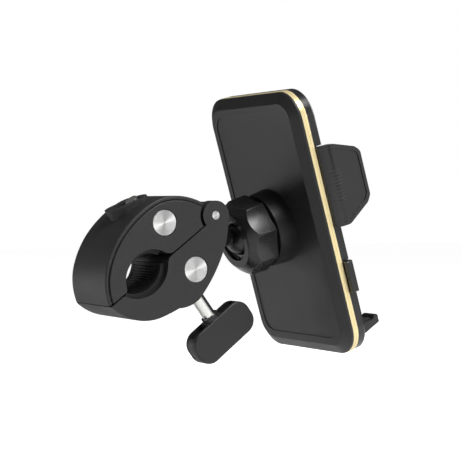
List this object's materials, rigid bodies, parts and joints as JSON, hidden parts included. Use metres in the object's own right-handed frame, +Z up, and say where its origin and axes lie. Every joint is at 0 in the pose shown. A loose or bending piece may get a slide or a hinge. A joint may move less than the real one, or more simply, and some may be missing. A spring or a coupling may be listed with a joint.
{
  "type": "phone mount",
  "caption": "Handlebar clamp with two hinged jaws and a cross-barrel screw, joined by a ball joint with a lock nut to a phone cradle with sprung side arms and a sliding foot.",
  "frame": {"origin": "on the axis of the lower jaw's bar seat, at the middle of the clamp's width", "axes": "+X along the handlebar, +Z up, the cradle on the -Y side with its screen side facing -Y and tilted up"},
  "size_m": [0.0838, 0.1272, 0.119],
  "materials": {
    "clamp_plastic": "fine-textured dark grey plastic",
    "pad_rubber": "ribbed black rubber",
    "steel": "turned and brushed",
    "bright_steel": "bright plated",
    "handle_plastic": "satin dark grey plastic",
    "ball_black": "polished black",
    "nut_plastic": "glossy black",
    "socket_plastic": "glossy black",
    "liner_plastic": "natural low-friction plastic",
    "rear_plastic": "fine-textured dark grey plastic",
    "front_plastic": "glossy black",
    "trim_gold": "pale gold satin",
    "gear_plastic": "natural plastic"
  },
  "bodies": {
    "lower_jaw": {"lower_jaw": "clamp_plastic", "lower_jaw_pad": "pad_rubber", "hinge_pin": "steel", "ball_stud": "ball_black", "stud_nut": "steel"},
    "upper_jaw": {"upper_jaw": "clamp_plastic", "upper_jaw_pad": "pad_rubber"},
    "lower_barrel": {"lower_barrel": "steel", "thrust_washer": "steel"},
    "upper_barrel": {"upper_barrel": "steel"},
    "clamp_screw": {"clamp_screw": "bright_steel", "retaining_clip": "steel", "t_handle": "handle_plastic"},
    "ball_cup": {"ball_cup": "liner_plastic"},
    "ball_ring": {"ball_ring": "liner_plastic"},
    "cradle": {"ball_socket": "socket_plastic", "rear_shell": "rear_plastic", "front_shell": "front_plastic", "trim_band": "trim_gold", "front_pad": "pad_rubber", "arm_spring": "steel", "case_screws": "steel", "socket_screws": "steel"},
    "lock_nut": {"lock_nut": "nut_plastic"},
    "arm_left": {"arm_left": "front_plastic", "arm_pad_left": "pad_rubber"},
    "arm_right": {"arm_right": "front_plastic", "arm_pad_right": "pad_rubber"},
    "arm_pinion": {"arm_pinion": "gear_plastic"},
    "release_latch": {"release_latch": "gear_plastic"},
    "release_button_left": {"release_button_left": "front_plastic", "button_spring_left": "steel"},
    "release_button_right": {"release_button_right": "front_plastic", "button_spring_right": "steel"},
    "foot": {"foot_bracket": "front_plastic", "foot_pads": "pad_rubber"}
  },
  "joints": [
    {"name": "clamp_screw_turn", "type": "hinge", "parent": "lower_barrel", "child": "clamp_screw", "pos_m": [0, -0.02745, -0.00264], "axis": [0, 0.6018, 0.7986], "range_deg": [-4060, 0]},
    {"name": "jaw_open", "type": "hinge", "parent": "lower_jaw", "child": "upper_jaw", "pos_m": [0, -0.0371, 0.0201], "axis": [1, 0, 0], "range_deg": [0, 33]},
    {"name": "lower_barrel_swing", "type": "hinge", "parent": "lower_jaw", "child": "lower_barrel", "pos_m": [0, -0.02745, -0.00264], "axis": [1, 0, 0], "range_deg": [0, 16.5]},
    {"name": "upper_barrel_swing", "type": "hinge", "parent": "upper_jaw", "child": "upper_barrel", "pos_m": [0, -0.01258, 0.01709], "axis": [1, 0, 0], "range_deg": [-16.5, 0]},
    {"name": "ball_pan", "type": "hinge", "parent": "lower_jaw", "child": "ball_cup", "pos_m": [0, -0.06035, 0.0102], "axis": [0, 0, 1], "range_deg": [-18, 18]},
    {"name": "ball_tilt", "type": "hinge", "parent": "ball_cup", "child": "ball_ring", "pos_m": [0, -0.06035, 0.0102], "axis": [1, 0, 0], "range_deg": [-5.7, 28]},
    {"name": "cradle_spin", "type": "hinge", "parent": "ball_ring", "child": "cradle", "pos_m": [0, -0.06035, 0.0102], "axis": [0, -0.96, 0.2802], "continuous": true},
    {"name": "lock_nut_turn", "type": "hinge", "parent": "cradle", "child": "lock_nut", "pos_m": [0, -0.06035, 0.0102], "axis": [0, -0.96, 0.2802], "range_deg": [-360, 0]},
    {"name": "arm_left_slide", "type": "slide", "parent": "cradle", "child": "arm_left", "axis": [1, 0, 0], "range_m": [0, 0.014]},
    {"name": "arm_right_slide", "type": "slide", "parent": "cradle", "child": "arm_right", "axis": [-1, 0, 0], "range_m": [0, 0.014]},
    {"name": "arm_pinion_turn", "type": "hinge", "parent": "cradle", "child": "arm_pinion", "pos_m": [0, -0.07997, 0.03186], "axis": [0, -0.96, 0.2802], "range_deg": [-168, 0]},
    {"name": "latch_slide", "type": "slide", "parent": "cradle", "child": "release_latch", "axis": [0, -0.2802, -0.96], "range_m": [0, 0.0018]},
    {"name": "button_left_press", "type": "slide", "parent": "cradle", "child": "release_button_left", "axis": [-1, 0, 0], "range_m": [0, 0.0018], "stiffness_N_per_m": 400, "springref_m": -0.001, "deforming": ["button_spring_left"]},
    {"name": "button_right_press", "type": "slide", "parent": "cradle", "child": "release_button_right", "axis": [1, 0, 0], "range_m": [0, 0.0018], "stiffness_N_per_m": 400, "springref_m": -0.001, "deforming": ["button_spring_right"]},
    {"name": "foot_slide", "type": "slide", "parent": "cradle", "child": "foot", "axis": [0, -0.2802, -0.96], "range_m": [0, 0.009]}
  ],
  "couplings": [
    {"joint": "jaw_open", "follows": "clamp_screw_turn", "ratio": -0.0081281},
    {"joint": "lower_barrel_swing", "follows": "clamp_screw_turn", "ratio": -0.004064},
    {"joint": "upper_barrel_swing", "follows": "clamp_screw_turn", "ratio": 0.004064},
    {"joint": "arm_right_slide", "follows": "arm_left_slide", "ratio": 1},
    {"joint": "arm_pinion_turn", "follows": "arm_left_slide", "rad_per_m": -208.33},
    {"joint": "button_left_press", "follows": "latch_slide", "ratio": 1},
    {"joint": "button_right_press", "follows": "latch_slide", "ratio": 1}
  ]
}
